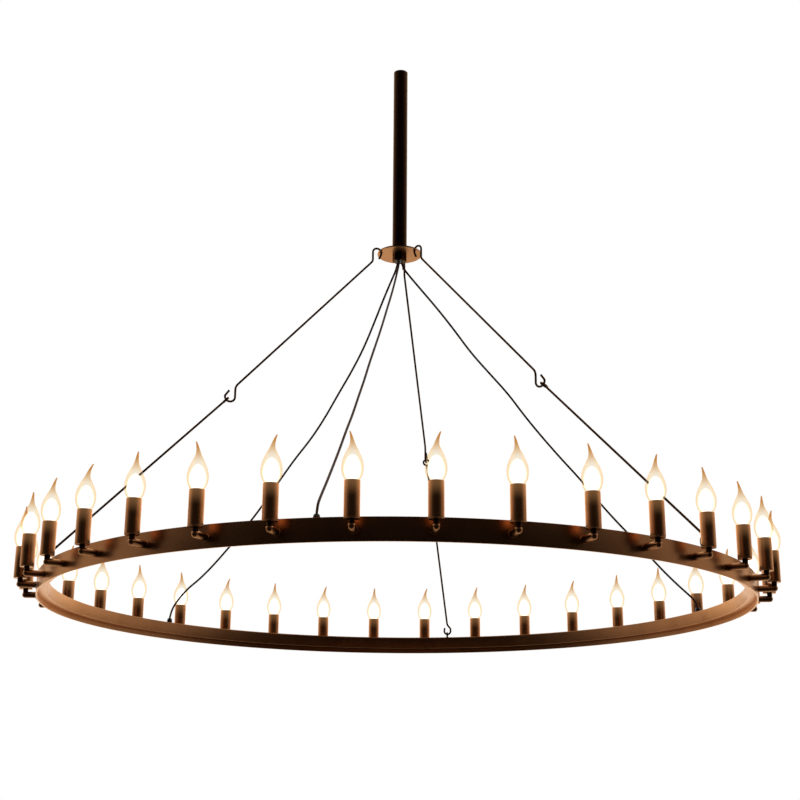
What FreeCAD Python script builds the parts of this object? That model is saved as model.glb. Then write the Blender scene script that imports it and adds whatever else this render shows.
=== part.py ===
"""Wagon wheel chandelier: a flat steel ring with 36 candle lights on stub arms, hung on three hooked rod legs
from a disc at the foot of a down tube. Millimetres, +Z up, origin at the top end of the down tube.

Angles run from the front (-Y) towards +X. Heights named *_Z are above the bottom edge of the ring's outer
band; level() turns them into the part's own frame. A leg or a cable lies in one upright plane through the
tube's axis, so its points are (distance from the axis, height).
"""
import FreeCAD, Part
import math
import os

from FreeCAD import Vector

# ---- driving dimensions -----------------------------------------------------------------------------------
CANDLES = 36
DROP = 1239.0  # top of the down tube to the bottom edge of the outer band

BAND_R = 718.2  # outer face of the outer band
BAND_T = 3.0
BAND_H = 39.7
CHANNEL_W = 17.6  # inner face of the channel to the band
CHANNEL_T = 1.5
CHANNEL_BOTTOM_Z = 10.4
CHANNEL_TOP_Z = 36.5

ARM_REACH = 30.8  # band to candle axis
ARM_D = 12.5
ARM_Z = 18.0
WIRE_BORE_D = 6.0
NECK_D = 10.0
NECK_TOP_Z = 35.0
CUP_T = 2.5
CUP_Z = 29.0
CUP_ROUND = 1.2
SLEEVE_D = 25.7
SLEEVE_T = 1.2
SLEEVE_H = 58.3

HOLDER_D = 21.5
HOLDER_BORE_D = 15.6
HOLDER_H = 45.5
HOLDER_FLOOR = 12.6  # solid foot under the lamp cap's bore
HOLDER_FOOT = 4.5  # depth of the socket for the neck in that foot
CONTACT_D = 4.0
CONTACT_GAP = 0.3

CAP_D = 13.8  # lamp cap, E14 size
CAP_H = 24.0
CAP_OVER_SLEEVE = -14.0  # top of the lamp cap, from the sleeve's top edge
LAMP_CONTACT_D = 5.0
LAMP_CONTACT_H = 2.5
GLASS_T = 1.0
STEM_D = 5.0
STEM_H = 22.0
FILAMENT_D = 2.4
FILAMENT_H = 24.0
TIP_END_D = 2.2
BULB_H = 80.0  # lamp tip above the sleeve's top edge

TUBE_D = 31.8
TUBE_T = 2.0
DISC_D = 97.2
DISC_T = 3.0
DISC_Z = 786.0
HOOK_HOLE_R = 42.7  # tube axis to each hook hole
HOOK_HOLE_D = 8.4
NIPPLE_D = 20.0
NIPPLE_BORE_D = 16.0
NIPPLE_IN_TUBE = 30.0
PLUG_H = 20.0  # plug in the tube's foot that the nipple screws into
NUT_AF = 27.0
NUT_H = 16.0
BUSH_H = 8.0
LEAD_R = 5.0  # tube axis to each lead
LEAD_GAP = 0.3

ROD_D = 4.5
HUB_ARCH_R = 9.55
MID_HOOK_R = 10.5
LOWER_REACH = 335.5  # ring eye in to the middle hook's centre
UPPER_FALL = 368.0  # disc down to the middle hook's centre
HOOK_TIP = 13.0  # a hook's centre to its tip
HOOK_LEAN = 2.2
HOOK_RISE = 1.5
HOOK_SET = 23.0  # a hook's centre up to where its rod bends
HUB_TIP_OUT = 4.8
HUB_TIP_DROP = 16.0
HUB_THROUGH = 5.0
HUB_BEND_DROP = 23.5
ARCH_GAP = 2.45  # rod over the disc at the arch's top, so its bend clears the hole's edge
MID_EYE_R = 7.5
EYE_GAP = 0.5  # slack between an eye and the wire in it
RING_HOOK_R = 8.5
RING_EYE_SETBACK = 4.4  # channel's inner face to the eye studs
RING_BEND = 24.0  # ring hook up to where the lower rod bends
RING_EYE_R = 5.6
RING_EYE_WIRE_D = 3.2
RING_EYE_GAP = 0.7
STUD_D = 3.0
STUD_DEPTH = 8.0
STUD_COLLAR_D = 8.0
STUD_COLLAR_H = 1.5
STUD_NUT_AF = 5.5
STUD_NUT_H = 2.4

CABLE_D = 4.5
CABLE_TOP_GAP = 1.2  # a slanting cable's end below the bush
CABLE_FOOT_GAP = 0.8  # and above its gland
GLAND_SETBACK = 9.4  # channel's inner face to the glands
GLAND_D = 12.0
GLAND_H = 11.0
GLAND_NECK_D = 8.0
GLAND_NECK_H = 6.0
GLAND_ROUND = 1.5
LOOM_D = 4.8

# Where each leg and cable stands, in degrees.
LEG_ANGLES = {"left": -60.0, "right": 60.0, "rear": 180.0}
CABLE_ANGLES = {"front": 0.0, "right": 120.0, "left": -120.0}
CANDLE_ANGLES = [360.0 / CANDLES * (k + 0.5) for k in range(CANDLES)]

# Each cable's route from the bush under the disc to its gland, chosen by hand.
CABLE_ROUTES = {
    "front": [(11, 755), (26, 736), (54, 700), (94, 654), (138, 608), (182, 560), (226, 515), (273, 469),
              (317, 425), (361, 378), (408, 333), (453, 287), (502, 244), (551, 197), (601, 152), (649, 110),
              (685, 80), (703, 63)],
    "right": [(9, 756), (23, 740), (49, 713), (88, 673), (129, 627), (168, 579), (211, 537), (257, 493),
              (295, 447), (337, 402), (382, 357), (429, 313), (474, 264), (521, 219), (569, 177), (614, 133),
              (655, 98), (684, 76), (702, 62)],
    "left": [(9, 754), (22, 733), (45, 694), (73, 642), (102, 591), (137, 544), (177, 498), (214, 453),
             (255, 411), (306, 371), (354, 327), (406, 277), (455, 236), (506, 198), (556, 162), (606, 131),
             (650, 111), (684, 86), (703, 65)],
}

# How far each lamp's drawn tip leans, seen from the front: plus to the right, minus to the left.
TIP_LEANS = [-6, 6, -5, -6, 3, -5, -6, -1, 3, 4, -4, 3, 0, 0, 0, 5, 4, 5, 5, 0, 5, 0, 5, -3, -3, 0, 3, -4, 4,
             0, 0, 5, 8, 1, -6, 6]
LEAN_AXIS = 10.4  # the leans are measured square to this angle

# Lamp glass: (height above the sleeve's top edge, radius), up to where the drawn tip starts.
GLASS_PROFILE = [(-12.0, 7.6), (-6.0, 9.6), (0.0, 10.9), (6.0, 14.2), (14.0, 16.8), (22.0, 17.5), (31.0, 16.3),
                 (41.0, 12.9), (50.0, 8.6), (57.0, 5.2)]

# ---- values that follow -------------------------------------------------------------------------------------
CHANNEL_OUT = BAND_R - BAND_T
CHANNEL_R = CHANNEL_OUT - CHANNEL_W
CANDLE_R = BAND_R + ARM_REACH
RING_EYE_X = CHANNEL_R + RING_EYE_SETBACK
GLAND_X = CHANNEL_R + GLAND_SETBACK
SLEEVE_Z = CUP_Z + CUP_T
SLEEVE_TOP = SLEEVE_Z + SLEEVE_H
HOLDER_BORE_Z = SLEEVE_Z + HOLDER_FLOOR
CAP_TOP_Z = SLEEVE_TOP + CAP_OVER_SLEEVE
NUT_Z = DISC_Z - NUT_H
TUBE_FOOT_Z = DISC_Z + DISC_T
ROD_R = ROD_D / 2
STUD_EYE_Z = CHANNEL_TOP_Z + RING_EYE_R + RING_EYE_WIRE_D / 2 + 0.2
RING_HOOK_Z = STUD_EYE_Z + RING_EYE_R - RING_EYE_WIRE_D / 2 - ROD_R - RING_EYE_GAP
GLAND_TOP_Z = CHANNEL_TOP_Z + GLAND_H
LEG_TOP_X = HOOK_HOLE_R + 2 * HUB_ARCH_R
LEG_TOP_Z = DISC_Z - HUB_BEND_DROP
MID_HOOK_X = RING_EYE_X - LOWER_REACH
MID_HOOK_Z = DISC_Z - UPPER_FALL
Z_AXIS = Vector(0, 0, 1)


def level(height):
    """A height above the band's bottom edge, in the part's frame."""
    return height - DROP


def at(distance, height, aside=0.0):
    """A point of the front plane: distance from the axis, height, and sideways towards +X."""
    return Vector(aside, -distance, level(height))


def cylinder(diameter, bottom, height, distance=0.0):
    return Part.makeCylinder(diameter / 2, height, at(distance, bottom), Z_AXIS)


def ring(outer_r, inner_r, bottom, height):
    """An upright-walled ring about the tube's axis."""
    return cylinder(2 * outer_r, bottom, height).cut(cylinder(2 * inner_r, bottom, height))


def turned(shape, angle):
    copy = shape.copy()
    copy.rotate(Vector(0, 0, 0), Z_AXIS, angle)
    return copy


def copies(shape, angles):
    return [turned(shape, angle) for angle in angles]


def hexagon(across_flats, bottom, height, distance=0.0):
    corner = across_flats / math.sqrt(3)
    points = []
    for k in range(7):
        turn = math.radians(60 * k)
        points.append(at(distance + corner * math.sin(turn), bottom, corner * math.cos(turn)))
    return Part.Face(Part.makePolygon(points)).extrude(Vector(0, 0, height))


def rounded_path(points, radii):
    """A wire of straight runs joined by tangent arcs, one radius for each inner point."""
    edges = []
    start = points[0]
    for before, corner, after, radius in zip(points, points[1:], points[2:], radii):
        back = (before - corner).normalize()
        ahead = (after - corner).normalize()
        half = (math.pi - back.getAngle(ahead)) / 2
        reach = radius * math.tan(half)
        first = corner + back * reach
        last = corner + ahead * reach
        middle = corner + (back + ahead).normalize() * (radius / math.cos(half) - radius)
        if (first - start).Length > 1e-6:
            edges.append(Part.LineSegment(start, first).toShape())
        edges.append(Part.Arc(first, middle, last).toShape())
        start = last
    edges.append(Part.LineSegment(start, points[-1]).toShape())
    return Part.Wire(edges)


def tube_along(wire, diameter):
    """A round bar of one diameter along a wire."""
    first = wire.Edges[0]
    direction = first.tangentAt(first.FirstParameter)
    start = wire.OrderedVertexes[0].Point
    profile = Part.Wire(Part.makeCircle(diameter / 2, start, direction))
    return wire.makePipeShell([profile], True, False)


def cable_radii(points):
    """Each arc is as large as its two runs allow."""
    radii = []
    for before, corner, after in zip(points, points[1:], points[2:]):
        run = min((corner - before).Length, (after - corner).Length)
        turn = (corner - before).getAngle(after - corner)
        radii.append(0.45 * run / math.tan(turn / 2))
    return radii


# ---- the stem: tube, disc and what hangs under it ------------------------------------------------------------
def stem_tube():
    outside = cylinder(TUBE_D, TUBE_FOOT_Z, DROP - TUBE_FOOT_Z)
    bore = cylinder(TUBE_D - 2 * TUBE_T, TUBE_FOOT_Z, DROP - TUBE_FOOT_Z)
    plug = cylinder(TUBE_D - TUBE_T, TUBE_FOOT_Z, PLUG_H).cut(cylinder(NIPPLE_D, TUBE_FOOT_Z, PLUG_H))
    return outside.cut(bore).fuse(plug).removeSplitter()


def hub_disc():
    disc = cylinder(DISC_D, DISC_Z, DISC_T).cut(cylinder(NIPPLE_D, DISC_Z, DISC_T))
    hole = cylinder(HOOK_HOLE_D, DISC_Z, DISC_T, HOOK_HOLE_R)
    return disc.cut(Part.makeCompound(copies(hole, LEG_ANGLES.values())))


def hub_nipple():
    height = NUT_H + DISC_T + NIPPLE_IN_TUBE
    return cylinder(NIPPLE_D, NUT_Z, height).cut(cylinder(NIPPLE_BORE_D, NUT_Z, height))


def hub_nut():
    return hexagon(NUT_AF, NUT_Z, NUT_H).cut(cylinder(NIPPLE_D, NUT_Z, NUT_H))


def cable_bush():
    return cylinder(NIPPLE_BORE_D, NUT_Z, BUSH_H)


def supply_leads():
    bottom = NUT_Z + BUSH_H
    lead = cylinder(CABLE_D, bottom, DROP - bottom, LEAD_R)
    return Part.makeCompound(copies(lead, CABLE_ANGLES.values()))


# ---- legs ------------------------------------------------------------------------------------------------------
def upper_rod():
    """Tip up through the disc's hole, over the rim, down the slope and into an open hook."""
    arch_top = DISC_Z + DISC_T + ROD_R + ARCH_GAP
    hook_in = MID_HOOK_X - MID_HOOK_R
    hook_out = MID_HOOK_X + MID_HOOK_R
    hook_foot = MID_HOOK_Z - MID_HOOK_R
    corners = [(HOOK_HOLE_R + HUB_TIP_OUT, DISC_Z - HUB_TIP_DROP), (HOOK_HOLE_R, DISC_Z - HUB_THROUGH),
               (HOOK_HOLE_R, arch_top), (LEG_TOP_X, arch_top), (LEG_TOP_X, LEG_TOP_Z),
               (hook_in, MID_HOOK_Z + HOOK_SET), (hook_in, hook_foot), (hook_out, hook_foot),
               (hook_out, MID_HOOK_Z + HOOK_RISE), (MID_HOOK_X + HOOK_LEAN, MID_HOOK_Z + HOOK_TIP)]
    radii = [4.0, HUB_ARCH_R, HUB_ARCH_R, 12.0, 20.0, MID_HOOK_R, MID_HOOK_R, 5.0]
    return tube_along(rounded_path([at(*corner) for corner in corners], radii), ROD_D)


def lower_rod():
    """An eye round the upper hook's wire, the slope, and an open hook set square to it at the ring."""
    held = at(MID_HOOK_X + MID_HOOK_R * math.sqrt(0.5), MID_HOOK_Z - MID_HOOK_R * math.sqrt(0.5))
    bend = at(RING_EYE_X, RING_HOOK_Z + RING_BEND)
    slope = (bend - held).normalize()
    centre = held + slope * (MID_EYE_R - ROD_D - EYE_GAP)
    eye = Part.makeTorus(MID_EYE_R, ROD_R, centre, slope.cross(Vector(1, 0, 0)))
    hook_foot = RING_HOOK_Z
    points = [centre + slope * MID_EYE_R, bend, at(RING_EYE_X, RING_HOOK_Z + 14.0, -RING_HOOK_R),
              at(RING_EYE_X, hook_foot, -RING_HOOK_R), at(RING_EYE_X, hook_foot, RING_HOOK_R),
              at(RING_EYE_X, RING_HOOK_Z + 16.0, RING_HOOK_R - 2.0)]
    radii = [8.0, 6.0, RING_HOOK_R, RING_HOOK_R]
    return tube_along(rounded_path(points, radii), ROD_D).fuse(eye)


# ---- the wheel ---------------------------------------------------------------------------------------------------
def outer_band():
    band = ring(BAND_R, CHANNEL_OUT, 0.0, BAND_H)
    wire_hole = Part.makeCylinder(WIRE_BORE_D / 2, 2 * BAND_T, at(CHANNEL_OUT - 1.0, ARM_Z), Vector(0, -1, 0))
    return band.cut(Part.makeCompound(copies(wire_hole, CANDLE_ANGLES)))


def ring_channel():
    """Inner wall with a top and a bottom flange, closed on the outside by the band."""
    height = CHANNEL_TOP_Z - CHANNEL_BOTTOM_Z
    box = ring(CHANNEL_OUT, CHANNEL_R, CHANNEL_BOTTOM_Z, height)
    inside = ring(CHANNEL_OUT, CHANNEL_R + CHANNEL_T, CHANNEL_BOTTOM_Z + CHANNEL_T, height - 2 * CHANNEL_T)
    top = CHANNEL_TOP_Z - CHANNEL_T
    stud_hole = cylinder(STUD_D, top, CHANNEL_T, RING_EYE_X)
    gland_hole = cylinder(GLAND_NECK_D, top, CHANNEL_T, GLAND_X)
    holes = copies(stud_hole, LEG_ANGLES.values()) + copies(gland_hole, CABLE_ANGLES.values())
    return box.cut(inside).cut(Part.makeCompound(holes))


def ring_loom():
    """The bundle of lamp leads that runs round inside the channel."""
    height = CHANNEL_BOTTOM_Z + CHANNEL_T + LOOM_D / 2
    return Part.makeTorus((CHANNEL_R + CHANNEL_OUT) / 2, LOOM_D / 2, Vector(0, 0, level(height)), Z_AXIS)


def candle_arm():
    length = CANDLE_R - BAND_R
    bar = Part.makeCylinder(ARM_D / 2, length, at(BAND_R, ARM_Z), Vector(0, -1, 0))
    dome = Part.makeSphere(ARM_D / 2, at(CANDLE_R, ARM_Z))
    bore = Part.makeCylinder(WIRE_BORE_D / 2, length, at(BAND_R, ARM_Z), Vector(0, -1, 0))
    return bar.fuse(dome).cut(bore).cut(cylinder(NECK_D, ARM_Z, ARM_D, CANDLE_R))


def candle_neck():
    height = NECK_TOP_Z - ARM_Z
    return cylinder(NECK_D, ARM_Z, height, CANDLE_R).cut(cylinder(WIRE_BORE_D, ARM_Z, height, CANDLE_R))


def candle_cup():
    cup = cylinder(SLEEVE_D, CUP_Z, CUP_T, CANDLE_R)
    rim = [edge for edge in cup.Edges if edge.Length > SLEEVE_D and abs(edge.BoundBox.ZMin - level(CUP_Z)) < 0.01]
    return cup.makeFillet(CUP_ROUND, rim[:1]).cut(cylinder(NECK_D, CUP_Z, CUP_T, CANDLE_R))


def candle_sleeve():
    inside = cylinder(SLEEVE_D - 2 * SLEEVE_T, SLEEVE_Z, SLEEVE_H, CANDLE_R)
    return cylinder(SLEEVE_D, SLEEVE_Z, SLEEVE_H, CANDLE_R).cut(inside)


def lamp_holder():
    """The moulded holder and, as its own solid, the centre contact in its floor."""
    body = cylinder(HOLDER_D, SLEEVE_Z, HOLDER_H, CANDLE_R)
    lamp_bore = cylinder(HOLDER_BORE_D, HOLDER_BORE_Z, HOLDER_H, CANDLE_R)
    neck_socket = cylinder(NECK_D, SLEEVE_Z, HOLDER_FOOT, CANDLE_R)
    wire_hole = cylinder(CONTACT_D, SLEEVE_Z, HOLDER_H, CANDLE_R)
    contact_top = CAP_TOP_Z - CAP_H - LAMP_CONTACT_H - CONTACT_GAP
    contact_bottom = HOLDER_BORE_Z - 5.0
    contact = cylinder(CONTACT_D, contact_bottom, contact_top - contact_bottom, CANDLE_R)
    return [body.cut(lamp_bore).cut(neck_socket).cut(wire_hole), contact]


def eye_stud():
    eye = Part.makeTorus(RING_EYE_R, RING_EYE_WIRE_D / 2, at(RING_EYE_X, STUD_EYE_Z), Vector(1, 0, 0))
    collar = cylinder(STUD_COLLAR_D, CHANNEL_TOP_Z, STUD_COLLAR_H, RING_EYE_X)
    shank_bottom = CHANNEL_TOP_Z - STUD_DEPTH
    shank = cylinder(STUD_D, shank_bottom, CHANNEL_TOP_Z + STUD_COLLAR_H - shank_bottom, RING_EYE_X)
    return eye.fuse(collar).fuse(shank)


def stud_nut():
    bottom = CHANNEL_TOP_Z - CHANNEL_T - STUD_NUT_H
    return hexagon(STUD_NUT_AF, bottom, STUD_NUT_H, RING_EYE_X).cut(cylinder(STUD_D, bottom, STUD_NUT_H, RING_EYE_X))


def cable_gland():
    head = cylinder(GLAND_D, CHANNEL_TOP_Z, GLAND_H, GLAND_X)
    rim = [edge for edge in head.Edges if edge.Length > GLAND_D and abs(edge.BoundBox.ZMax - level(GLAND_TOP_Z)) < 0.01]
    neck = cylinder(GLAND_NECK_D, CHANNEL_TOP_Z - GLAND_NECK_H, GLAND_NECK_H, GLAND_X)
    return head.makeFillet(GLAND_ROUND, rim[:1]).fuse(neck)


def supply_cable(name):
    """A free cable from the bush to its gland: straight runs and tangent arcs in one upright plane."""
    route = [(LEAD_R, NUT_Z - CABLE_TOP_GAP)] + CABLE_ROUTES[name] + [(GLAND_X, GLAND_TOP_Z + CABLE_FOOT_GAP)]
    points = [at(*point) for point in route]
    radii = cable_radii(points)
    path = rounded_path(points, radii)
    tube = tube_along(path, CABLE_D)
    share = tube.Volume / (path.Length * math.pi * CABLE_D ** 2 / 4)
    print(f"cable {name}: length {path.Length:.0f}, least radius {min(radii):.0f}, volume share {share:.4f}")
    print("  radii", [round(radius) for radius in radii])
    return turned(tube, CABLE_ANGLES[name])


# ---- lamps ---------------------------------------------------------------------------------------------------------
def lamp_glass(lean):
    """A thin blown shell, open at its neck, with a solid drawn tip that leans to one side."""
    outer = [Vector(radius, 0, height) for height, radius in GLASS_PROFILE]
    inner = [Vector(radius - GLASS_T, 0, height) for height, radius in GLASS_PROFILE[:-1]]
    inner.append(Vector(0, 0, GLASS_PROFILE[-1][0] - GLASS_T))
    outline = Part.BSplineCurve()
    outline.interpolate(outer)
    lining = Part.BSplineCurve()
    lining.interpolate(inner)
    crown = Vector(0, 0, outer[-1].z)
    edges = [outline.toShape(), Part.makeLine(outer[-1], crown), Part.makeLine(crown, inner[-1]),
             lining.toShape(), Part.makeLine(inner[0], outer[0])]
    shell = Part.Face(Part.Wire(Part.__sortEdges__(edges))).revolve(Vector(0, 0, 0), Z_AXIS, 360)
    foot, foot_r = GLASS_PROFILE[-1]
    rings = []
    for step in range(5):
        share = step / 4
        radius = foot_r + (TIP_END_D / 2 - foot_r) * share ** 0.6
        centre = Vector(lean * share ** 2, 0, foot + (BULB_H - foot) * share)
        rings.append(Part.Wire(Part.makeCircle(radius, centre, Z_AXIS)))
    return shell.fuse(Part.makeLoft(rings, True))


def lamp(angle, lean):
    glass = lamp_glass(lean)
    cap = Part.makeCylinder(CAP_D / 2, CAP_H, Vector(0, 0, CAP_OVER_SLEEVE - CAP_H), Z_AXIS)
    contact_z = CAP_OVER_SLEEVE - CAP_H - LAMP_CONTACT_H
    contact = Part.makeCylinder(LAMP_CONTACT_D / 2, LAMP_CONTACT_H, Vector(0, 0, contact_z), Z_AXIS)
    collar = Part.makeCone(CAP_D / 2, GLASS_PROFILE[0][1], GLASS_PROFILE[0][0] - CAP_OVER_SLEEVE,
                           Vector(0, 0, CAP_OVER_SLEEVE), Z_AXIS)
    stem = Part.makeCylinder(STEM_D / 2, STEM_H, Vector(0, 0, GLASS_PROFILE[0][0]), Z_AXIS)
    filament = Part.makeCylinder(FILAMENT_D / 2, FILAMENT_H, Vector(0, 0, GLASS_PROFILE[0][0] + STEM_H), Z_AXIS)
    pieces = Part.makeCompound([glass, cap.fuse(collar).removeSplitter(), contact, stem, filament])
    pieces.rotate(Vector(0, 0, 0), Z_AXIS, LEAN_AXIS)
    place = turned(Part.Vertex(at(CANDLE_R, SLEEVE_TOP)), angle).Point
    pieces.translate(place)
    return pieces


def candles(solids):
    """One candle's solids, repeated round the wheel."""
    return Part.makeCompound([part for solid in solids for part in copies(solid, CANDLE_ANGLES)])


def build():
    parts = {
        "stem_tube": stem_tube(),
        "hub_disc": hub_disc(),
        "hub_nipple": hub_nipple(),
        "hub_nut": hub_nut(),
        "cable_bush": cable_bush(),
        "supply_leads": supply_leads(),
        "outer_band": outer_band(),
        "ring_channel": ring_channel(),
        "ring_loom": ring_loom(),
        "candle_arms": candles([candle_arm()]),
        "candle_necks": candles([candle_neck()]),
        "candle_cups": candles([candle_cup()]),
        "candle_sleeves": candles([candle_sleeve()]),
        "lamp_holders": candles(lamp_holder()),
        "eye_studs": Part.makeCompound(copies(eye_stud(), LEG_ANGLES.values())),
        "stud_nuts": Part.makeCompound(copies(stud_nut(), LEG_ANGLES.values())),
        "cable_glands": Part.makeCompound(copies(cable_gland(), CABLE_ANGLES.values())),
        "supply_cables": Part.makeCompound([supply_cable(name) for name in CABLE_ROUTES]),
    }
    upper, lower = upper_rod(), lower_rod()
    for name, angle in LEG_ANGLES.items():
        parts[f"upper_rod_{name}"] = turned(upper, angle)
        parts[f"lower_rod_{name}"] = turned(lower, angle)
    for number, (angle, lean) in enumerate(zip(CANDLE_ANGLES, TIP_LEANS), start=1):
        parts[f"lamp_{number:02d}"] = lamp(angle, lean)
    return parts


def main():
    os.makedirs("parts", exist_ok=True)
    for name, shape in build().items():
        if not shape.isValid():
            raise ValueError(f"{name} is not a valid shape")
        shape.exportStep(f"parts/{name}.step")
        print(f"{name}: {len(shape.Solids)} solids, {shape.Volume / 1000:.1f} cm3")


main()
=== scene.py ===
"""Dresses the wagon wheel chandelier: ring, arms, sleeves, lit flame lamps, rods and supply cables.

Everything is in metres in the frame's own axes. Angles run from the front (-Y) towards +X.
"""
import math

import bpy
import numpy as np
from mathutils import Matrix, Vector


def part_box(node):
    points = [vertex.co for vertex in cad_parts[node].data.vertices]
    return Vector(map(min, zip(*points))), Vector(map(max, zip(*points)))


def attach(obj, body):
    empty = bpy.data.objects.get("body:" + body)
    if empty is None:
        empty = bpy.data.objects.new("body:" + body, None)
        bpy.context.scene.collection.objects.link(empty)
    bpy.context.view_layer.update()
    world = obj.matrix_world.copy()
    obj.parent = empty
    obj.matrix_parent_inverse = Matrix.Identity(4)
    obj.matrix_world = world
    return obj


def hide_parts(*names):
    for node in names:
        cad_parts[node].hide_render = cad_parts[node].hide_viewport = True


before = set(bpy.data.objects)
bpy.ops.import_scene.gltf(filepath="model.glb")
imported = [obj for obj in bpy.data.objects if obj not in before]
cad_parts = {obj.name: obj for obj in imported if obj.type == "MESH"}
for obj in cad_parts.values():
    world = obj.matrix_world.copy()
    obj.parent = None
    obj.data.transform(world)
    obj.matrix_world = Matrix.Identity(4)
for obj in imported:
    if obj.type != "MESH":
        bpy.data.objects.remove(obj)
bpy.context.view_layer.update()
MM = 0.001

# ---- sizes read from the frame ---------------------------------------------------------------------------
BAND_LOW, BAND_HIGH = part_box("outer_band")
CHANNEL_LOW, CHANNEL_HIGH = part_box("ring_channel")
SLEEVE_LOW, SLEEVE_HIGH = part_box("candle_sleeves")
ARM_LOW, ARM_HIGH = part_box("candle_arms")
CUP_LOW, CUP_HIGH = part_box("candle_cups")
TUBE_LOW, TUBE_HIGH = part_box("stem_tube")
NUT_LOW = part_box("hub_nut")[0]
STUD_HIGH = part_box("eye_studs")[1]
GLAND_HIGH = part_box("cable_glands")[1]
CANDLES = sum(name.startswith("lamp_") and name[5:].isdigit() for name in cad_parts)

BAND_BOTTOM = BAND_LOW[2]
BAND_R = BAND_HIGH[0]
BAND_T = 3.0 * MM
BAND_ROUND = 0.7 * MM
CHANNEL_R = 697.6 * MM
CHANNEL_T = 1.5 * MM
CHANNEL_ROUND = 1.3 * MM
ARM_R = (ARM_HIGH[2] - ARM_LOW[2]) / 2
ARM_MID = (ARM_HIGH[2] + ARM_LOW[2]) / 2
CANDLE_R = 749.0 * MM
NECK_R = 5.0 * MM
CUP_ROUND = 1.1 * MM
SLEEVE_R = 12.85 * MM
SLEEVE_T = 1.2 * MM
MOUTH_ROUND = 0.5 * MM
TUBE_R = TUBE_HIGH[0]
TUBE_T = 2.0 * MM
LEG_ANGLES = {"left": -60.0, "right": 60.0, "rear": 180.0}
CABLE_ANGLES = {"front": 0.0, "right": 120.0, "left": -120.0}
CANDLE_ANGLES = [360.0 / CANDLES * (k + 0.5) for k in range(CANDLES)]
STUD_X = 702.0 * MM
STUD_EYE_R = 5.6 * MM
STUD_WIRE_R = 1.6 * MM
COLLAR_R = 4.0 * MM
COLLAR_H = 1.5 * MM
BORE_R = 0.1 * MM  # what the collar's profile leaves open in its middle
GLAND_X = 707.0 * MM
GLAND_R = 6.0 * MM
CABLE_D = 4.5 * MM
CABLE_TOP_GAP = 1.2 * MM
LEAD_R = 5.0 * MM
SPILL_REACH = 28.0 * MM
EDGE_SHARE = 0.45  # the most of an edge that a rounding takes

# Lamp glass: (height above the sleeve's top edge, radius) in mm, up to the end of its drawn tip.
GLASS_PROFILE = [(-12.0, 7.6), (-6.0, 9.6), (0.0, 10.9), (6.0, 14.2), (14.0, 16.8), (22.0, 17.5), (31.0, 16.3),
                 (41.0, 12.9), (50.0, 8.6), (57.0, 5.2), (64.0, 3.4), (71.0, 2.3), (80.0, 1.1)]
TIP_START = 50.0
TIP_END = 80.0
AMBER_START = 46.0
AMBER_END = 72.0
CAP_R = 6.9 * MM

# The glare round the filament: its middle above the sleeve's top edge, half its height and its widest radius.
GLARE_MIDDLE = 21.0 * MM
GLARE_HALF = 22.0 * MM
GLARE_R = 14.2 * MM
GLARE_TAPER = 0.16

# Camera, worked out from the photograph: the ring's two arcs, the candles and the tube.
CAMERA_ANGLE = 10.44
CAMERA_DISTANCE = 2.865
CAMERA_BELOW_BAND = 0.431
CAMERA_PITCH = 17.11
CAMERA_ROLL = 0.40
PHOTO_SIZE = 800
FOCAL_PIXELS = 1400.9
AXIS_PIXEL_X = 398.5
SENSOR = 36.0

# Each cable's route from the bush under the disc to its gland, in mm: (distance from the axis, height above
# the band's bottom edge).
CABLE_ROUTES = {
    "front": [(11, 755), (26, 736), (54, 700), (94, 654), (138, 608), (182, 560), (226, 515), (273, 469),
              (317, 425), (361, 378), (408, 333), (453, 287), (502, 244), (551, 197), (601, 152), (649, 110),
              (685, 80), (703, 63)],
    "right": [(9, 756), (23, 740), (49, 713), (88, 673), (129, 627), (168, 579), (211, 537), (257, 493),
              (295, 447), (337, 402), (382, 357), (429, 313), (474, 264), (521, 219), (569, 177), (614, 133),
              (655, 98), (684, 76), (702, 62)],
    "left": [(9, 754), (22, 733), (45, 694), (73, 642), (102, 591), (137, 544), (177, 498), (214, 453),
             (255, 411), (306, 371), (354, 327), (406, 277), (455, 236), (506, 198), (556, 162), (606, 131),
             (650, 111), (684, 86), (703, 65)],
}

# The studio's brightness from straight behind the object (0) to the viewer's side (1).
STUDIO_LEVELS = [(0.0, "#fffcf5"), (0.05, "#fbf6ec"), (0.13, "#b9b3ab"), (0.35, "#948e87"), (0.52, "#7c7772"),
                 (0.64, "#3f3c3a"), (0.78, "#181716"), (1.0, "#121110")]
STUDIO_STRENGTH = 2.2
STUDIO_TILT = 0.36


# ---- colour and node helpers -----------------------------------------------------------------------------
def rgb(code):
    """An sRGB hex colour as linear RGBA."""
    channels = [int(code[k:k + 2], 16) / 255 for k in (1, 3, 5)]
    return tuple(c / 12.92 if c <= 0.04045 else ((c + 0.055) / 1.055) ** 2.4 for c in channels) + (1.0,)


def add(tree, kind, inputs=(), **settings):
    """A node with its settings made and its inputs set to values or linked from sockets."""
    node = tree.nodes.new(kind)
    for name, value in settings.items():
        setattr(node, name, value)
    for name, value in dict(inputs).items():
        if isinstance(value, bpy.types.NodeSocket):
            tree.links.new(value, node.inputs[name])
        else:
            node.inputs[name].default_value = value
    return node


def new_material(name):
    material = bpy.data.materials.new(name)
    material.use_nodes = True
    tree = material.node_tree
    tree.nodes.clear()
    return material, tree, tree.nodes.new("ShaderNodeOutputMaterial")


def ramp(tree, factor, stops):
    """A colour ramp through (position, hex colour) stops."""
    node = add(tree, "ShaderNodeValToRGB", {"Fac": factor})
    elements = node.color_ramp.elements
    for position, code in stops[2:]:
        elements.new(position)
    for element, (position, code) in zip(elements, stops):
        element.position = position
        element.color = rgb(code)
    return node.outputs["Color"]


def noise(tree, vector, scale, detail=4.0):
    return add(tree, "ShaderNodeTexNoise", {"Vector": vector, "Scale": scale, "Detail": detail}).outputs["Fac"]


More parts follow.
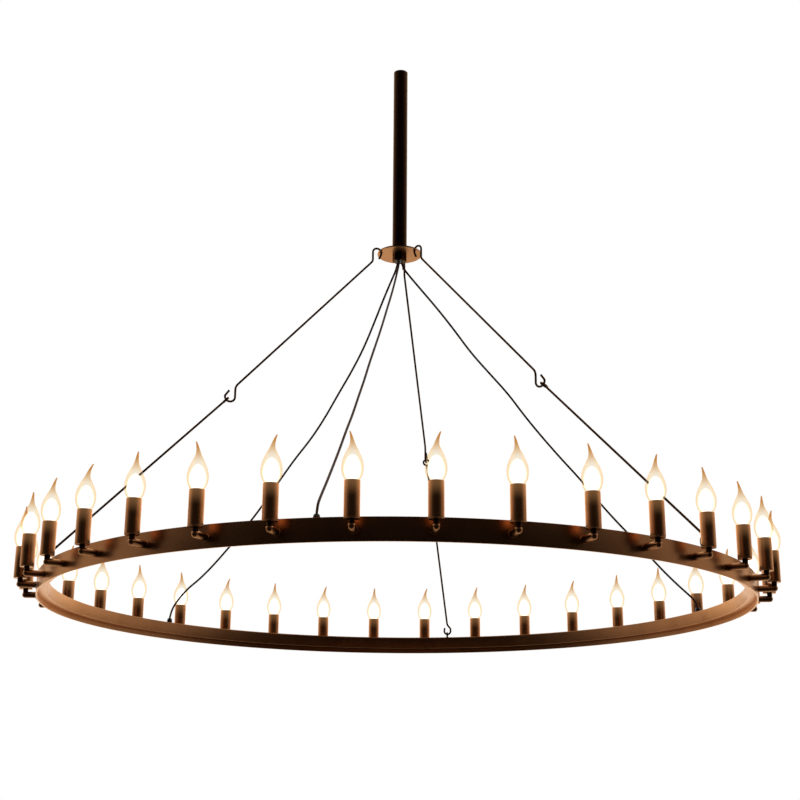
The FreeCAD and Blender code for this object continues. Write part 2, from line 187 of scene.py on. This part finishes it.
def spread(tree, value, low, high):
    """A 0..1 value moved to low..high."""
    node = add(tree, "ShaderNodeMapRange", {"Value": value, "To Min": low, "To Max": high})
    return node.outputs["Result"]


def relief(tree, height, strength, depth):
    """A bump's normal, depth metres deep."""
    node = add(tree, "ShaderNodeBump", {"Height": height, "Strength": strength, "Distance": depth})
    return node.outputs["Normal"]


def object_coordinates(tree, stretch=(1.0, 1.0, 1.0)):
    place = tree.nodes.new("ShaderNodeTexCoord").outputs["Object"]
    return add(tree, "ShaderNodeMapping", {"Vector": place, "Scale": stretch}).outputs["Vector"]


def finished(material, tree, output, shader):
    tree.links.new(shader.outputs[0], output.inputs["Surface"])
    return material


def lacquered_metal(name, stops, rough_low, rough_high, stretch=(1.0, 1.0, 1.0), grain=220.0, coat=0.04,
                    lit=0.0):
    """Bronze-toned metal: cloudy lacquer over a fine grain, with roughness that follows the clouds.
    Lit is the strength of a painted glow: the lamp's spill over the sleeves' upper ends, painted as emission."""
    material, tree, output = new_material(name)
    plain = object_coordinates(tree)
    drawn = object_coordinates(tree, stretch)
    clouds = noise(tree, plain, 18.0, 6.0)
    fine = noise(tree, drawn, grain, 3.0)
    mixed = add(tree, "ShaderNodeMix", {"Factor": 0.2, "A": clouds, "B": fine}).outputs["Result"]
    shader = add(tree, "ShaderNodeBsdfPrincipled", {
        "Base Color": ramp(tree, mixed, stops),
        "Metallic": 1.0,
        "Roughness": spread(tree, mixed, rough_low, rough_high),
        "Specular Tint": rgb("#fbe6cf"),
        "Coat Weight": coat,
        "Coat Roughness": 0.2,
        "Normal": relief(tree, fine, 0.1, 0.02 * MM),
    })
    # Painted light: an emission that grows towards the sleeves' top edge stands in for the lamps' light falling
    # there.
    if lit:
        height = add(tree, "ShaderNodeSeparateXYZ", {"Vector": plain}).outputs["Z"]
        spill = add(tree, "ShaderNodeMapRange", {"Value": height, "From Min": SLEEVE_HIGH[2] - SPILL_REACH,
                                                 "From Max": SLEEVE_HIGH[2], "To Max": lit},
                    interpolation_type="SMOOTHSTEP").outputs[0]
        shader.inputs["Emission Color"].default_value = rgb("#ffb877")
        tree.links.new(spill, shader.inputs["Emission Strength"])
    return finished(material, tree, output, shader)


def cable_sheath(name):
    """Brown sheath with a fine matt grain and slow changes of tone."""
    material, tree, output = new_material(name)
    place = object_coordinates(tree)
    weave = noise(tree, place, 900.0, 2.0)
    wear = noise(tree, place, 12.0, 4.0)
    shader = add(tree, "ShaderNodeBsdfPrincipled", {
        "Base Color": ramp(tree, wear, [(0.3, "#4a2c1a"), (0.7, "#633f29")]),
        "Specular IOR Level": 0.15,
        "Roughness": spread(tree, weave, 0.45, 0.65),
        "Normal": relief(tree, weave, 0.3, 0.2 * MM),
    })
    return finished(material, tree, output, shader)


def moulded_plastic(name):
    """Near-black moulded plastic with a fine, faint grain."""
    material, tree, output = new_material(name)
    texture = noise(tree, object_coordinates(tree), 500.0, 3.0)
    shader = add(tree, "ShaderNodeBsdfPrincipled", {
        "Base Color": ramp(tree, texture, [(0.3, "#150d08"), (0.7, "#22160e")]),
        "Roughness": spread(tree, texture, 0.35, 0.5),
        "Normal": relief(tree, texture, 0.15, 0.2 * MM),
    })
    return finished(material, tree, output, shader)


def lamp_glass():
    """Clear glass of a lit lamp: a see-through wall, warm and denser at its edges, with a light gloss."""
    material, tree, output = new_material("lamp_glass")
    facing = add(tree, "ShaderNodeLayerWeight", {"Blend": 0.5}).outputs["Facing"]
    streaks = noise(tree, object_coordinates(tree, (1.0, 1.0, 0.2)), 60.0, 2.0)
    varied = add(tree, "ShaderNodeMath", {0: facing, 1: spread(tree, streaks, 0.9, 1.1)}, operation="MULTIPLY")
    tint = ramp(tree, varied.outputs[0],
                [(0.0, "#fffbf3"), (0.45, "#fff5e3"), (0.8, "#fbe8c9"), (1.0, "#dcb888")])
    place = tree.nodes.new("ShaderNodeTexCoord").outputs["Object"]
    height = add(tree, "ShaderNodeSeparateXYZ", {"Vector": place}).outputs["Z"]
    tip = add(tree, "ShaderNodeMapRange", {"Value": height, "From Min": SLEEVE_HIGH[2] + AMBER_START * MM,
                                           "From Max": SLEEVE_HIGH[2] + AMBER_END * MM}).outputs[0]
    amber = add(tree, "ShaderNodeMix", {"Factor": tip, "A": tint, "B": rgb("#e3bd88")}, data_type="RGBA")
    clear = add(tree, "ShaderNodeBsdfTransparent", {"Color": amber.outputs["Result"]})
    gloss = add(tree, "ShaderNodeBsdfGlossy", {"Color": rgb("#fff4e2"), "Roughness": 0.06})
    shader = add(tree, "ShaderNodeMixShader", {0: 0.06, 1: clear.outputs[0], 2: gloss.outputs[0]})
    return finished(material, tree, output, shader)


def glow(name, core, rim, strength):
    """The lit filament's glare: brightest face on, warmer towards its rim."""
    material, tree, output = new_material(name)
    facing = add(tree, "ShaderNodeLayerWeight", {"Blend": 0.4}).outputs["Facing"]
    shimmer = noise(tree, object_coordinates(tree), 120.0, 2.0)
    seen = tree.nodes.new("ShaderNodeLightPath").outputs["Is Camera Ray"]
    dimmed = add(tree, "ShaderNodeMath", {0: spread(tree, seen, strength * 0.12, strength),
                                          1: spread(tree, shimmer, 0.95, 1.05)}, operation="MULTIPLY")
    light = add(tree, "ShaderNodeEmission", {"Color": ramp(tree, facing, [(0.1, core), (0.9, rim)]),
                                             "Strength": dimmed.outputs[0]})
    clear = tree.nodes.new("ShaderNodeBsdfTransparent")
    fade = add(tree, "ShaderNodeMapRange", {"Value": facing, "From Min": 0.15, "From Max": 0.88}).outputs[0]
    shader = add(tree, "ShaderNodeMixShader", {0: fade, 1: light.outputs[0], 2: clear.outputs[0]})
    return finished(material, tree, output, shader)


# Rolled and folded steel, sprayed oil-rubbed bronze: satin, dark where it mirrors the viewer's side.
BRONZE = lacquered_metal("oil_rubbed_bronze", [(0.25, "#956542"), (0.75, "#ab7952")], 0.24, 0.34)
# Steel tube in the same finish, given a much darker colour as painted shade: nearly black, without bright
# edges.
TUBE_BRONZE = lacquered_metal("dark_tube_bronze", [(0.25, "#2a1710"), (0.75, "#3a2217")], 0.36, 0.46)
# Copper-bronze plate on drawn tube: brighter edges, a dark core, and a painted glow of the lamp's light on its
# upper end.
SLEEVE_BRONZE = lacquered_metal("copper_bronze_plate", [(0.25, "#a86e44"), (0.75, "#c98f62")], 0.3, 0.38,
                                stretch=(1.0, 1.0, 0.05), grain=500.0, lit=0.14)
# Bent steel wire rod, sprayed brown-black.
ROD_BRONZE = lacquered_metal("bronze_wire_rod", [(0.25, "#38210f"), (0.75, "#4f301a")], 0.35, 0.5, coat=0.0)
# Blackened steel of the necks, eyes, nuts and nipple: dull and dark.
DARK_STEEL = lacquered_metal("blackened_steel", [(0.3, "#2a1a11"), (0.7, "#40291b")], 0.35, 0.5)
# Nickel-plated brass of the screw caps: pale and glossy.
NICKEL = lacquered_metal("lamp_cap_nickel", [(0.3, "#a89f92"), (0.7, "#d2cabd")], 0.2, 0.3)
# Flexible sheathed cable: matt brown.
CABLE_BROWN = cable_sheath("brown_cable_sheath")
# Moulded nylon of the glands, bush and holders: near-black with a dull gloss.
BLACK_PLASTIC = moulded_plastic("black_moulded_plastic")
# Clear lamp glass, seen lit: cream at its edges and amber in its drawn tip.
GLASS = lamp_glass()
GLOW = glow("lit_filament", "#ffffff", "#ffe9c0", 1.8)


# ---- mesh helpers ----------------------------------------------------------------------------------------
def mesh_object(name, points, faces, material, sharp=35.0):
    mesh = bpy.data.meshes.new(name)
    mesh.from_pydata([tuple(p) for p in points], [], [tuple(int(k) for k in face) for face in faces])
    mesh.validate()
    mesh.shade_smooth()
    mesh.set_sharp_from_angle(angle=math.radians(sharp))
    mesh.materials.append(material)
    made = bpy.data.objects.new(name, mesh)
    bpy.context.scene.collection.objects.link(made)
    return made


def grid_faces(rows, columns, close_rows=False):
    """Quads of a rows x columns grid of points whose columns run round a closed loop."""
    faces = []
    for i in range(rows if close_rows else rows - 1):
        for j in range(columns):
            a, b = i * columns + j, i * columns + (j + 1) % columns
            c, d = (i + 1) % rows * columns + (j + 1) % columns, (i + 1) % rows * columns + j
            faces.append((a, b, c, d))
    return faces


def lathe(profile, segments, close=False):
    """Points (r cos t, r sin t, z) for each (r, z) of the profile, t = 2 pi k / segments, and their quads."""
    r, z = np.array(profile, float).T
    t = 2 * np.pi * np.arange(segments) / segments
    x = r[:, None] * np.cos(t)
    y = r[:, None] * np.sin(t)
    points = np.stack([x, y, np.broadcast_to(z[:, None], x.shape)], axis=-1).reshape(-1, 3)
    return points, grid_faces(len(profile), segments, close)


def softened(corners, radius, steps=4):
    """A closed profile with each corner replaced by a quadratic curve that starts radius before it.
    P(s) = (1-s)^2 A + 2 s (1-s) B + s^2 C, with B the corner."""
    points = []
    corners = np.array(corners, float)
    for k, corner in enumerate(corners):
        back = corners[k - 1] - corner
        ahead = corners[(k + 1) % len(corners)] - corner
        reach = min(radius, EDGE_SHARE * np.linalg.norm(back), EDGE_SHARE * np.linalg.norm(ahead))
        first = corner + back / np.linalg.norm(back) * reach
        last = corner + ahead / np.linalg.norm(ahead) * reach
        for s in np.linspace(0, 1, steps + 1):
            points.append(tuple((1 - s) ** 2 * first + 2 * s * (1 - s) * corner + s ** 2 * last))
    return points


def torus(ring_r, wire_r, around=40, section=16):
    """Points ((R + r cos v) cos u, (R + r cos v) sin u, r sin v) and their quads."""
    v = 2 * np.pi * np.arange(section) / section
    profile = np.stack([ring_r + wire_r * np.cos(v), wire_r * np.sin(v)], axis=-1)
    return lathe(profile, around, close=True)


def curve_through(knots, count):
    """Catmull-Rom curve through (height, radius) knots, as count (radius, height) points."""
    knots = np.array(knots, float)
    padded = np.vstack([2 * knots[0] - knots[1], knots, 2 * knots[-1] - knots[-2]])
    points = []
    for place in np.linspace(0, len(knots) - 1, count):
        k = min(int(place), len(knots) - 2)
        s = place - k
        a, b, c, d = padded[k:k + 4]
        bend = (2 * a - 5 * b + 4 * c - d) * s ** 2
        twist = (3 * b - a - 3 * c + d) * s ** 3
        point = 0.5 * (2 * b + (c - a) * s + bend + twist)
        points.append((point[1], point[0]))
    return points


def radial(angle):
    """Turns the front plane to an angle: -Y becomes the outward direction."""
    return np.array(Matrix.Rotation(math.radians(angle), 3, "Z"))


def joined(name, shapes, material, body, *nodes, slot, sharp=35.0):
    """One object of several (points, faces) shapes, riding on a body in place of its nodes."""
    points, faces, start = [], [], 0
    for shape_points, shape_faces in shapes:
        points.append(np.asarray(shape_points))
        faces += [tuple(k + start for k in face) for face in shape_faces]
        start += len(shape_points)
    made = mesh_object(name, np.vstack(points), faces, material, sharp)
    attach(made, body)
    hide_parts(*nodes)


def moved(shape, offset):
    points, faces = shape
    return points + np.array(offset, float), faces


def at_angles(shape, angles):
    points, faces = shape
    return [(points @ radial(angle).T, faces) for angle in angles]


def outward(shape):
    """Lays a lathed shape's +Z axis along the front plane's outward direction, -Y."""
    points, faces = shape
    return points @ np.array(Matrix.Rotation(math.radians(90), 3, "X")).T, faces


# ---- the wheel -------------------------------------------------------------------------------------------
def outer_band():
    """The flat strip rolled into a ring, with its edges just broken."""
    inner = BAND_R - BAND_T
    corners = [(BAND_R, BAND_LOW[2]), (BAND_R, BAND_HIGH[2]), (inner, BAND_HIGH[2]), (inner, BAND_LOW[2])]
    shape = lathe(softened(corners, BAND_ROUND), 360, close=True)
    joined("outer_band_strip", [shape], BRONZE, "wheel", "outer_band", slot="bronze")


def ring_channel():
    """The folded channel inside the band, with pressed bends."""
    out, low, high = BAND_R - BAND_T, CHANNEL_LOW[2], CHANNEL_HIGH[2]
    wall = CHANNEL_R + CHANNEL_T
    corners = [(out, low), (CHANNEL_R, low), (CHANNEL_R, high), (out, high), (out, high - CHANNEL_T),
               (wall, high - CHANNEL_T), (wall, low + CHANNEL_T), (out, low + CHANNEL_T)]
    shape = lathe(softened(corners, CHANNEL_ROUND), 360, close=True)
    joined("ring_channel_fold", [shape], BRONZE, "wheel", "ring_channel", slot="bronze")


def candle_arms():
    """Round bars with domed ends, and a weld bead where each meets the band."""
    reach = CANDLE_R - BAND_R
    dome = [(ARM_R * math.cos(a), reach + ARM_R * math.sin(a)) for a in np.linspace(0, math.pi / 2 - 0.02, 9)]
    bead = [(ARM_R * 1.16, 0.1 * MM), (ARM_R * 1.1, 0.9 * MM), (ARM_R, 1.7 * MM)]
    bar = outward(lathe(bead + dome + [(0.0, reach + ARM_R)], 40))
    shape = moved(bar, (0, -BAND_R, ARM_MID))
    joined("candle_arm_bars", at_angles(shape, CANDLE_ANGLES), BRONZE, "wheel", "candle_arms", slot="bronze")


def candle_necks():
    low, high = ARM_MID + ARM_R * 0.6, SLEEVE_LOW[2]
    shape = moved(lathe([(NECK_R, low), (NECK_R, high)], 32), (0, -CANDLE_R, 0))
    joined("candle_neck_tubes", at_angles(shape, CANDLE_ANGLES), DARK_STEEL, "wheel", "candle_necks",
           slot="dark_steel")


def candle_cups():
    """Shallow cups with a rounded lower rim, under each sleeve."""
    low, high = CUP_LOW[2], CUP_HIGH[2]
    corners = [(NECK_R, low), (SLEEVE_R, low), (SLEEVE_R, high), (NECK_R, high)]
    shape = moved(lathe(softened(corners, CUP_ROUND), 48, close=True), (0, -CANDLE_R, 0))
    joined("candle_cup_dishes", at_angles(shape, CANDLE_ANGLES), BRONZE, "wheel", "candle_cups", slot="bronze")


def candle_sleeves():
    """Thin plated tubes with a rounded mouth."""
    low, high, inner = SLEEVE_LOW[2], SLEEVE_HIGH[2], SLEEVE_R - SLEEVE_T
    corners = [(SLEEVE_R, low), (SLEEVE_R, high), (inner, high), (inner, low)]
    shape = moved(lathe(softened(corners, MOUTH_ROUND), 56, close=True), (0, -CANDLE_R, 0))
    joined("candle_sleeve_tubes", at_angles(shape, CANDLE_ANGLES), SLEEVE_BRONZE, "wheel", "candle_sleeves",
           slot="polished_bronze")


def eye_studs():
    """An upright eye on a collar, one for each leg."""
    deck = CHANNEL_HIGH[2]
    eye = outward(torus(STUD_EYE_R, STUD_WIRE_R))
    eye = eye[0] @ radial(90).T, eye[1]
    eye = moved(eye, (0, -STUD_X, STUD_HIGH[2] - STUD_EYE_R - STUD_WIRE_R))
    top = deck + COLLAR_H
    corners = [(BORE_R, deck), (COLLAR_R, deck), (COLLAR_R, top), (BORE_R, top)]
    collar = moved(lathe(softened(corners, MOUTH_ROUND), 32), (0, -STUD_X, 0))
    shapes = at_angles(eye, LEG_ANGLES.values()) + at_angles(collar, LEG_ANGLES.values())
    joined("eye_stud_rings", shapes, DARK_STEEL, "wheel", "eye_studs", slot="dark_steel")


def cable_glands():
    """Domed glands with a straight foot, where the cables enter the ring."""
    low, high = CHANNEL_HIGH[2], GLAND_HIGH[2]
    profile = [(GLAND_R, low), (GLAND_R, low + 6.5 * MM), (GLAND_R * 0.93, low + 7.2 * MM),
               (GLAND_R * 0.88, high - 2.2 * MM), (GLAND_R * 0.72, high - 0.6 * MM), (CABLE_D / 2, high)]
    shape = moved(lathe(profile, 32), (0, -GLAND_X, 0))
    joined("cable_gland_caps", at_angles(shape, CABLE_ANGLES.values()), BLACK_PLASTIC, "wheel", "cable_glands",
           slot="black_plastic", sharp=25.0)


# ---- the stem --------------------------------------------------------------------------------------------
def stem_tube():
    inner = TUBE_R - TUBE_T
    corners = [(TUBE_R, TUBE_LOW[2]), (TUBE_R, TUBE_HIGH[2]), (inner, TUBE_HIGH[2]), (inner, TUBE_LOW[2])]
    shape = lathe(softened(corners, MOUTH_ROUND), 96, close=True)
    joined("stem_tube_wall", [shape], TUBE_BRONZE, "stem", "stem_tube", slot="bronze")


# ---- lamps -----------------------------------------------------------------------------------------------
def tip_lean(node, axis):
    """How far the node's highest point stands aside of its lamp's axis."""
    points = np.array([v.co for v in node.data.vertices])
    return points[points[:, 2].argmax()][:2] - axis


def lamp(number, angle):
    """Glass with a drawn, leaning tip, its screw cap and the glare round its filament.
    The tip leans by the square of its share of the way up. The glare is r = R sqrt(1 - h^2) (1 - taper h)."""
    name = f"lamp_{number:02d}"
    axis = (radial(angle) @ np.array([0, -CANDLE_R, 0]))[:2]
    lean = tip_lean(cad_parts[name], axis)
    foot = SLEEVE_HIGH[2]
    profile = [(r * MM, z * MM) for r, z in curve_through(GLASS_PROFILE, 58)]
    points, faces = lathe(profile + [(0.0, profile[-1][1] + 0.5 * MM)], 36)
    share = np.clip((points[:, 2] / MM - TIP_START) / (TIP_END - TIP_START), 0, 1)
    points[:, :2] += share[:, None] ** 2 * lean + axis
    points[:, 2] += foot
    glass = mesh_object(f"{name}_glass", points, faces, GLASS, 180.0)
    cap = [(2.5 * MM, -40.0 * MM), (CAP_R, -37.5 * MM), (CAP_R, -14.0 * MM), (7.6 * MM, -12.0 * MM)]
    cap = moved(lathe(cap, 28), (*axis, foot))
    cap = mesh_object(f"{name}_cap", *cap, NICKEL)
    heights = np.linspace(-1, 1, 15)
    widths = GLARE_R * np.sqrt(1 - heights ** 2) * (1 - GLARE_TAPER * heights)
    glare = list(zip(widths, GLARE_MIDDLE + GLARE_HALF * heights))
    glare = moved(lathe(glare, 28), (*axis, foot))
    glare = mesh_object(f"{name}_glare", *glare, GLOW, 180.0)
    for piece in (glass, cap, glare):
        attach(piece, name)
    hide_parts(name)


# ---- cables ----------------------------------------------------------------------------------------------
def supply_cable(name, replace):
    """A free cable as one open NURBS spline through its route, from the bush to its gland."""
    top = NUT_LOW[2] - CABLE_TOP_GAP
    route = [(LEAD_R, top)]
    route += [(r * MM, BAND_BOTTOM + z * MM) for r, z in CABLE_ROUTES[name]]
    route.append((GLAND_X, GLAND_HIGH[2]))
    points = [radial(CABLE_ANGLES[name]) @ np.array([0, -r, z]) for r, z in route]
    curve = bpy.data.curves.new(f"supply_cable_{name}", "CURVE")
    curve.dimensions = "3D"
    spline = curve.splines.new("NURBS")
    spline.points.add(len(points) - 1)
    for target, point in zip(spline.points, points):
        target.co = (*point, 1.0)
    spline.order_u = 3
    spline.use_endpoint_u = True
    curve.resolution_u = 8
    curve.bevel_depth = CABLE_D / 2
    curve.bevel_resolution = 5
    curve.use_fill_caps = True
    curve.materials.append(CABLE_BROWN)
    made = bpy.data.objects.new(f"supply_cable_{name}", curve)
    bpy.context.scene.collection.objects.link(made)
    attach(made, "wheel")
    if replace:
        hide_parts("supply_cables")


# ---- CAD nodes that show as they are ---------------------------------------------------------------------
def dress_nodes():
    finishes = {"hub_disc": BRONZE, "hub_nipple": DARK_STEEL, "hub_nut": DARK_STEEL, "stud_nuts": DARK_STEEL,
                "cable_bush": BLACK_PLASTIC, "lamp_holders": BLACK_PLASTIC, "supply_leads": CABLE_BROWN,
                "ring_loom": CABLE_BROWN}
    for name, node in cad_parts.items():
        material = finishes.get(name, ROD_BRONZE if "_rod_" in name else None)
        if material:
            for slot in node.material_slots:
                slot.material = material


# ---- surroundings ----------------------------------------------------------------------------------------
def surroundings():
    """A studio with a white back wall and a dark front: bright behind the object, dark on the viewer's side.
    The camera and clear glass see plain white."""
    world = bpy.data.worlds.new("studio")
    bpy.context.scene.world = world
    world.use_nodes = True
    tree = world.node_tree
    tree.nodes.clear()
    output = tree.nodes.new("ShaderNodeOutputWorld")
    towards = tree.nodes.new("ShaderNodeTexCoord").outputs["Generated"]
    angle = math.radians(CAMERA_ANGLE)
    front = Vector((math.sin(angle), -math.cos(angle), -STUDIO_TILT)).normalized()
    facing = add(tree, "ShaderNodeVectorMath", {0: towards, 1: tuple(front)},
                 operation="DOT_PRODUCT").outputs["Value"]
    turned = add(tree, "ShaderNodeMapRange", {"Value": facing, "From Min": -1.0, "From Max": 1.0}).outputs[0]
    studio = add(tree, "ShaderNodeBackground", {"Color": ramp(tree, turned, STUDIO_LEVELS),
                                                "Strength": STUDIO_STRENGTH})
    white = add(tree, "ShaderNodeBackground", {"Color": (1.0, 1.0, 1.0, 1.0), "Strength": 1.0})
    path = tree.nodes.new("ShaderNodeLightPath")
    seen = add(tree, "ShaderNodeMath", {0: path.outputs["Is Camera Ray"],
                                        1: path.outputs["Is Transmission Ray"]}, operation="MAXIMUM").outputs[0]
    both = add(tree, "ShaderNodeMixShader", {0: seen, 1: studio.outputs[0], 2: white.outputs[0]})
    tree.links.new(both.outputs[0], output.inputs["Surface"])


def camera():
    """The photograph's viewpoint: below the ring's plane, a little to the right of the front cable."""
    data = bpy.data.cameras.new("camera")
    data.sensor_width = SENSOR
    data.lens = FOCAL_PIXELS * SENSOR / PHOTO_SIZE
    data.shift_x = (PHOTO_SIZE / 2 - AXIS_PIXEL_X) / PHOTO_SIZE
    data.clip_end = 50.0
    made = bpy.data.objects.new("camera", data)
    bpy.context.scene.collection.objects.link(made)
    angle, pitch, roll = (math.radians(v) for v in (CAMERA_ANGLE, CAMERA_PITCH, CAMERA_ROLL))
    away = Vector((-math.sin(angle), math.cos(angle), 0.0))
    ahead = away * math.cos(pitch) + Vector((0, 0, 1)) * math.sin(pitch)
    level_right = Vector((math.cos(angle), math.sin(angle), 0.0))
    level_up = level_right.cross(ahead)
    right = level_right * math.cos(roll) + level_up * math.sin(roll)
    up = level_up * math.cos(roll) - level_right * math.sin(roll)
    turn = Matrix((right, up, -ahead)).transposed()
    place = -away * CAMERA_DISTANCE
    place.z = BAND_BOTTOM - CAMERA_BELOW_BAND
    made.matrix_world = Matrix.Translation(place) @ turn.to_4x4()
    bpy.context.scene.camera = made


def main():
    for make in (outer_band, ring_channel, candle_arms, candle_necks, candle_cups, candle_sleeves, eye_studs,
                 cable_glands, stem_tube):
        make()
    for number, angle in enumerate(CANDLE_ANGLES, start=1):
        lamp(number, angle)
    for name in CABLE_ROUTES:
        supply_cable(name, name == "front")
    dress_nodes()
    surroundings()
    camera()
    bpy.context.scene.view_settings.view_transform = "Standard"


main()
